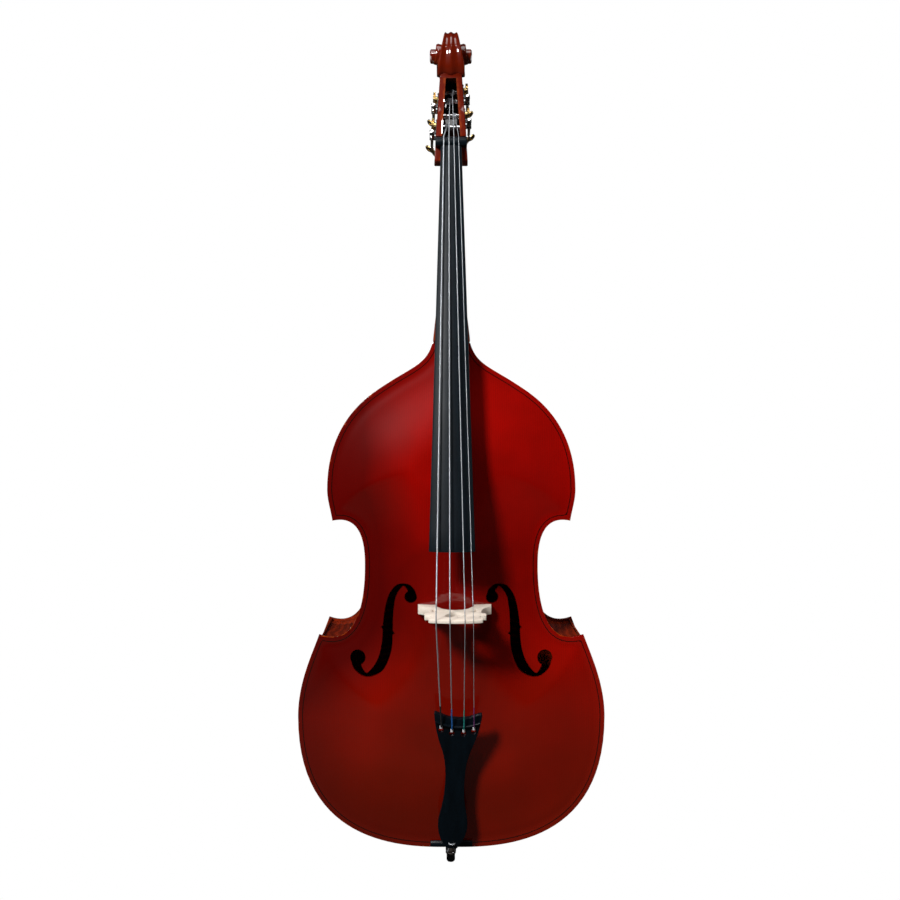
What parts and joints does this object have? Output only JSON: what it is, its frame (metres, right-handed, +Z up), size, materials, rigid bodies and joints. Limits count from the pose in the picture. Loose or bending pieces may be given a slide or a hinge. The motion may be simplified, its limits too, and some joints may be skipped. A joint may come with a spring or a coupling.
{
  "type": "double bass",
  "caption": "Upright string instrument: arched hollow body with f-holes, long fingerboard, scroll, worm-geared tuning machines, bridge, tailpiece and sliding endpin.",
  "frame": {"origin": "centre of the flat foot of the endpin's rubber tip, with the endpin pushed in", "axes": "+Z up the instrument towards the scroll, -Y the way the top plate and strings face, +X to the player's viewer's right"},
  "size_m": [0.6762, 0.4165, 1.9055],
  "materials": {
    "varnished_top": "deep red-brown gloss varnish over spruce",
    "varnished_back": "deep red-brown gloss varnish over flamed maple",
    "varnished_neck": "red-brown gloss varnish over maple",
    "bare_wood": "bare planed spruce and willow",
    "bridge_maple": "bare pale maple, lightly oiled",
    "ebony": "polished black ebony",
    "string_steel": "flat-wound steel",
    "black_steel": "black satin enamel on steel",
    "chrome": "bright chrome plate",
    "rod_steel": "ground steel rod",
    "brass": "polished brass, a little tarnished",
    "rubber": "black moulded rubber"
  },
  "bodies": {
    "bass": {"back_lining_left": "bare_wood", "back_lining_right": "bare_wood", "back_plate": "varnished_back", "bass_bar": "bare_wood", "bridge": "bridge_maple", "end_block": "bare_wood", "endpin_collar": "chrome", "endpin_plug": "ebony", "fingerboard": "ebony", "lower_block_left": "bare_wood", "lower_block_right": "bare_wood", "lower_rib_left": "varnished_back", "lower_rib_right": "varnished_back", "machine_plate_a": "black_steel", "machine_plate_d": "black_steel", "machine_plate_e": "black_steel", "machine_plate_g": "black_steel", "neck": "varnished_neck", "neck_block": "bare_wood", "nut": "ebony", "saddle": "ebony", "sound_post": "bare_wood", "string_a": "string_steel", "string_d": "string_steel", "string_e": "string_steel", "string_g": "string_steel", "tail_cable": "string_steel", "tailpiece": "ebony", "tailpiece_fret": "ebony", "top_lining_left": "bare_wood", "top_lining_right": "bare_wood", "top_plate": "varnished_top", "upper_block_left": "bare_wood", "upper_block_right": "bare_wood", "upper_rib_left": "varnished_back", "upper_rib_right": "varnished_back", "waist_rib_left": "varnished_back", "waist_rib_right": "varnished_back"},
    "worm_e": {"worm_shaft_e": "chrome", "key_e": "brass"},
    "roller_e": {"gear_e": "brass", "roller_e": "chrome"},
    "worm_a": {"worm_shaft_a": "chrome", "key_a": "brass"},
    "roller_a": {"gear_a": "brass", "roller_a": "chrome"},
    "worm_d": {"worm_shaft_d": "chrome", "key_d": "brass"},
    "roller_d": {"gear_d": "brass", "roller_d": "chrome"},
    "worm_g": {"worm_shaft_g": "chrome", "key_g": "brass"},
    "roller_g": {"gear_g": "brass", "roller_g": "chrome"},
    "endpin": {"endpin_rod": "rod_steel", "endpin_tip": "rubber"},
    "thumb_screw": {"thumb_screw": "chrome"}
  },
  "joints": [
    {"name": "key_turn_e", "type": "hinge", "parent": "bass", "child": "worm_e", "pos_m": [-0.043, -0.03153, 1.66594], "axis": [-0.0141, 0.966, -0.2581], "continuous": true},
    {"name": "roller_turn_e", "type": "hinge", "parent": "bass", "child": "roller_e", "pos_m": [-0.04187, -0.026, 1.68657], "axis": [-0.9985, 0, 0.0545], "continuous": true},
    {"name": "key_turn_a", "type": "hinge", "parent": "bass", "child": "worm_a", "pos_m": [-0.03939, -0.01353, 1.73194], "axis": [-0.0141, 0.966, -0.2581], "continuous": true},
    {"name": "roller_turn_a", "type": "hinge", "parent": "bass", "child": "roller_a", "pos_m": [-0.03827, -0.008, 1.75257], "axis": [-0.9985, 0, 0.0545], "continuous": true},
    {"name": "key_turn_d", "type": "hinge", "parent": "bass", "child": "worm_d", "pos_m": [0.03819, -0.00753, 1.75394], "axis": [0.0141, 0.966, -0.2581], "continuous": true},
    {"name": "roller_turn_d", "type": "hinge", "parent": "bass", "child": "roller_d", "pos_m": [0.03707, -0.002, 1.77457], "axis": [0.9985, 0, 0.0545], "continuous": true},
    {"name": "key_turn_g", "type": "hinge", "parent": "bass", "child": "worm_g", "pos_m": [0.04142, -0.02153, 1.69494], "axis": [0.0141, 0.966, -0.2581], "continuous": true},
    {"name": "roller_turn_g", "type": "hinge", "parent": "bass", "child": "roller_g", "pos_m": [0.04029, -0.016, 1.71557], "axis": [0.9985, 0, 0.0545], "continuous": true},
    {"name": "endpin_slide", "type": "slide", "parent": "bass", "child": "endpin", "axis": [0, 0, -1], "range_m": [0, 0.28]},
    {"name": "thumb_screw_turn", "type": "hinge", "parent": "bass", "child": "thumb_screw", "pos_m": [0, 0, 0.044], "axis": [1, 0, 0], "range_deg": [-15, 720]}
  ],
  "couplings": [
    {"joint": "roller_turn_e", "follows": "key_turn_e", "ratio": 0.055556},
    {"joint": "roller_turn_a", "follows": "key_turn_a", "ratio": 0.055556},
    {"joint": "roller_turn_d", "follows": "key_turn_d", "ratio": -0.055556},
    {"joint": "roller_turn_g", "follows": "key_turn_g", "ratio": -0.055556}
  ]
}
